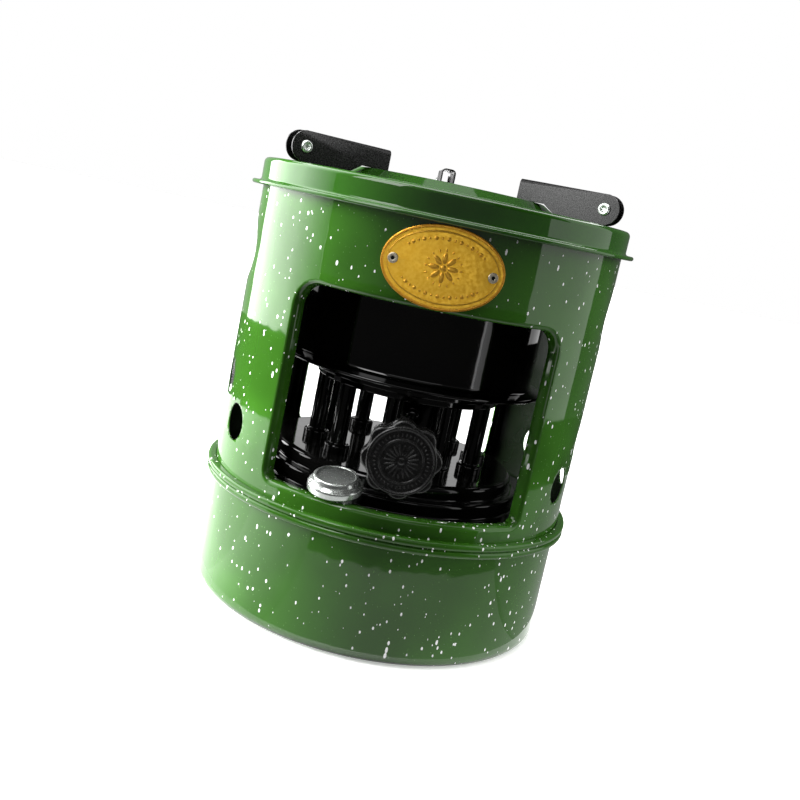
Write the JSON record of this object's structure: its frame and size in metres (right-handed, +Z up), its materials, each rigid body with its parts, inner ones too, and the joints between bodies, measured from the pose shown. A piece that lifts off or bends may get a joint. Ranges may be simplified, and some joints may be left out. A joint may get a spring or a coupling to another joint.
{
  "type": "kerosene heater",
  "caption": "Round enamelled wick kerosene heater with a window in its drum, a wick knob, a leaning filler cap, a lift-off burner and folding pot arms.",
  "frame": {"origin": "centre of the round base, on the surface that it stands on", "axes": "+Z up along the drum's axis; -Y towards the window, knob and badge; +X to the right seen from the front"},
  "size_m": [0.25, 0.25, 0.2948],
  "materials": {
    "green_enamel": "glossy enamel with white flecks",
    "green_gloss": "glossy enamel, plain",
    "black_enamel": "glossy black enamel",
    "black_paint": "satin black paint",
    "burner_steel": "dull drawn steel",
    "plain_steel": "satin",
    "zinc": "bright zinc plate",
    "badge_brass": "lacquered, pressed relief",
    "bakelite": "moulded, semi-gloss",
    "gasket_rubber": "matt",
    "wick_cotton": "plaited cotton"
  },
  "bodies": {
    "body": {"tank_shell": "green_enamel", "tank_top": "black_enamel", "seam_band": "green_enamel", "shell": "green_enamel", "badge": "badge_brass", "badge_eyelets": "plain_steel", "top_ring": "green_gloss", "bracket_rivets": "zinc", "burner_ring": "black_enamel", "lifter_housing": "black_enamel", "shaft_gland": "plain_steel", "filler_neck": "zinc", "wick_tube_1": "black_enamel", "wick_tube_2": "black_enamel", "wick_tube_3": "black_enamel", "wick_tube_4": "black_enamel", "wick_tube_5": "black_enamel", "wick_tube_6": "black_enamel", "wick_tube_7": "black_enamel", "wick_tube_8": "black_enamel", "wick_tube_9": "black_enamel", "wick_tube_10": "black_enamel", "bracket_rear": "black_paint", "bracket_left": "black_paint", "bracket_right": "black_paint", "pivot_rear": "zinc", "pivot_left": "zinc", "pivot_right": "zinc"},
    "burner": {"outer_drum": "black_enamel", "drum_floor": "black_enamel", "outer_flame_tube": "burner_steel", "inner_flame_tube": "burner_steel", "spreader_cap": "burner_steel", "flame_tube_pins": "plain_steel"},
    "knob": {"knob": "bakelite", "knob_shaft": "plain_steel", "pinion": "plain_steel", "knob_screw": "plain_steel"},
    "wick_lift": {"wick_rack": "plain_steel", "wick_carrier": "plain_steel", "wick_1": "wick_cotton", "wick_2": "wick_cotton", "wick_3": "wick_cotton", "wick_4": "wick_cotton", "wick_5": "wick_cotton", "wick_6": "wick_cotton", "wick_7": "wick_cotton", "wick_8": "wick_cotton", "wick_9": "wick_cotton", "wick_10": "wick_cotton"},
    "cap_seal": {"cap_gasket": "gasket_rubber"},
    "filler_cap": {"filler_cap": "zinc"},
    "arm_rear": {"arm_rear": "black_paint"},
    "arm_left": {"arm_left": "black_paint"},
    "arm_right": {"arm_right": "black_paint"}
  },
  "joints": [
    {"name": "arm_rear_fold", "type": "hinge", "parent": "body", "child": "arm_rear", "pos_m": [0, 0.107, 0.2856], "axis": [-1, 0, 0], "range_deg": [0, 180]},
    {"name": "arm_left_fold", "type": "hinge", "parent": "body", "child": "arm_left", "pos_m": [-0.09266, -0.0535, 0.2856], "axis": [0.5, -0.866, 0], "range_deg": [0, 180]},
    {"name": "arm_right_fold", "type": "hinge", "parent": "body", "child": "arm_right", "pos_m": [0.09266, -0.0535, 0.2856], "axis": [0.5, 0.866, 0], "range_deg": [0, 180]},
    {"name": "burner_lift", "type": "slide", "parent": "body", "child": "burner", "axis": [0, 0, 1], "range_m": [0, 0.012]},
    {"name": "knob_turn", "type": "hinge", "parent": "body", "child": "knob", "pos_m": [0, -0.105, 0.123], "axis": [0, -1, 0], "range_deg": [-20, 160]},
    {"name": "wick_raise", "type": "slide", "parent": "body", "child": "wick_lift", "axis": [0, 0, 1], "range_m": [-0.00175, 0.01396]},
    {"name": "cap_rise", "type": "slide", "parent": "body", "child": "cap_seal", "axis": [-0.0632, -0.18, 0.9816], "range_m": [0, 0.006]},
    {"name": "cap_turn", "type": "hinge", "parent": "cap_seal", "child": "filler_cap", "pos_m": [-0.0342, -0.0974, 0.0952], "axis": [-0.0632, -0.18, 0.9816], "range_deg": [0, 722]}
  ],
  "couplings": [
    {"joint": "knob_turn", "follows": "wick_raise", "rad_per_m": 200},
    {"joint": "cap_turn", "follows": "cap_rise", "rad_per_m": 2094.4}
  ]
}
